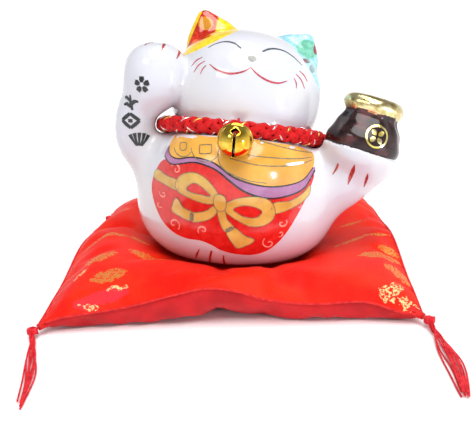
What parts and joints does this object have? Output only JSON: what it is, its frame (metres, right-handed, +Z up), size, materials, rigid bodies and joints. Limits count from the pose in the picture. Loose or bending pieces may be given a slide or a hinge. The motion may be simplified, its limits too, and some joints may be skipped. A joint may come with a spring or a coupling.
{
  "type": "beckoning cat figurine",
  "caption": "Glazed ceramic cat with one raised paw, a pouch in the other and a jingle bell on a braided collar, sitting on a square stuffed cushion with corner tassels.",
  "frame": {"origin": "middle of the cushion's flat underside, on the surface it stands on", "axes": "+Z up, the cat faces -Y, its raised paw is on the -X side"},
  "size_m": [0.1769, 0.2501, 0.1327],
  "materials": {
    "white_glaze": "glossy white glaze with painted enamels",
    "brown_glaze": "glossy dark brown glaze with gold lustre",
    "red_cord": "braided, with metallic flecks",
    "red_thread": "twisted, slightly shiny",
    "yellow_brass": "polished",
    "steel_pellet": "dull",
    "red_brocade": "satin weave with metallic gold motifs",
    "crimson_satin": "plain satin",
    "fibre_fill": "loose fibre filling"
  },
  "bodies": {
    "cushion": {"cushion_top_panel": "red_brocade", "cushion_bottom_panel": "crimson_satin", "cushion_stuffing": "fibre_fill"},
    "cat": {"ceramic_cat": "white_glaze", "held_pouch": "brown_glaze", "collar_cord": "red_cord", "collar_whipping": "red_thread"},
    "bell_thread": {"bell_tie_thread": "red_thread"},
    "bell": {"bell_back_shell": "yellow_brass", "bell_front_shell": "yellow_brass", "bell_wire_loop": "yellow_brass"},
    "pellet": {"bell_pellet": "steel_pellet"},
    "front_left_tassel": {"front_left_tassel_knot": "red_thread", "front_left_tassel_threads": "red_thread"},
    "front_right_tassel": {"front_right_tassel_knot": "red_thread", "front_right_tassel_threads": "red_thread"},
    "back_left_tassel": {"back_left_tassel_knot": "red_thread", "back_left_tassel_threads": "red_thread"},
    "back_right_tassel": {"back_right_tassel_knot": "red_thread", "back_right_tassel_threads": "red_thread"}
  },
  "joints": [
    {"name": "cat_lift", "type": "slide", "parent": "cushion", "child": "cat", "axis": [0, 0, 1], "range_m": [0, 0.08]},
    {"name": "bell_swing", "type": "hinge", "parent": "cat", "child": "bell_thread", "pos_m": [0.00627, -0.03871, 0.08111], "axis": [-0.9904, 0.0451, 0.1303], "range_deg": [0, 60]},
    {"name": "bell_sway", "type": "hinge", "parent": "bell_thread", "child": "bell", "pos_m": [0.0059, -0.0447, 0.08034], "axis": [0.1203, -0.1788, 0.9765], "range_deg": [-17, 17]},
    {"name": "pellet_rattle", "type": "slide", "parent": "bell", "child": "pellet", "axis": [0.1203, -0.1788, 0.9765], "range_m": [0, 0.0095]},
    {"name": "front_left_tassel_turn", "type": "hinge", "parent": "cushion", "child": "front_left_tassel", "pos_m": [-0.08587, -0.08187, 0.0032], "axis": [0, 0, 1], "range_deg": [-170, 60]},
    {"name": "front_right_tassel_turn", "type": "hinge", "parent": "cushion", "child": "front_right_tassel", "pos_m": [0.08587, -0.08187, 0.0032], "axis": [0, 0, 1], "range_deg": [-65, 160]},
    {"name": "back_left_tassel_turn", "type": "hinge", "parent": "cushion", "child": "back_left_tassel", "pos_m": [-0.08587, 0.08187, 0.0032], "axis": [0, 0, 1], "range_deg": [-17, 205]},
    {"name": "back_right_tassel_turn", "type": "hinge", "parent": "cushion", "child": "back_right_tassel", "pos_m": [0.08587, 0.08187, 0.0032], "axis": [0, 0, 1], "range_deg": [-205, 17]}
  ]
}
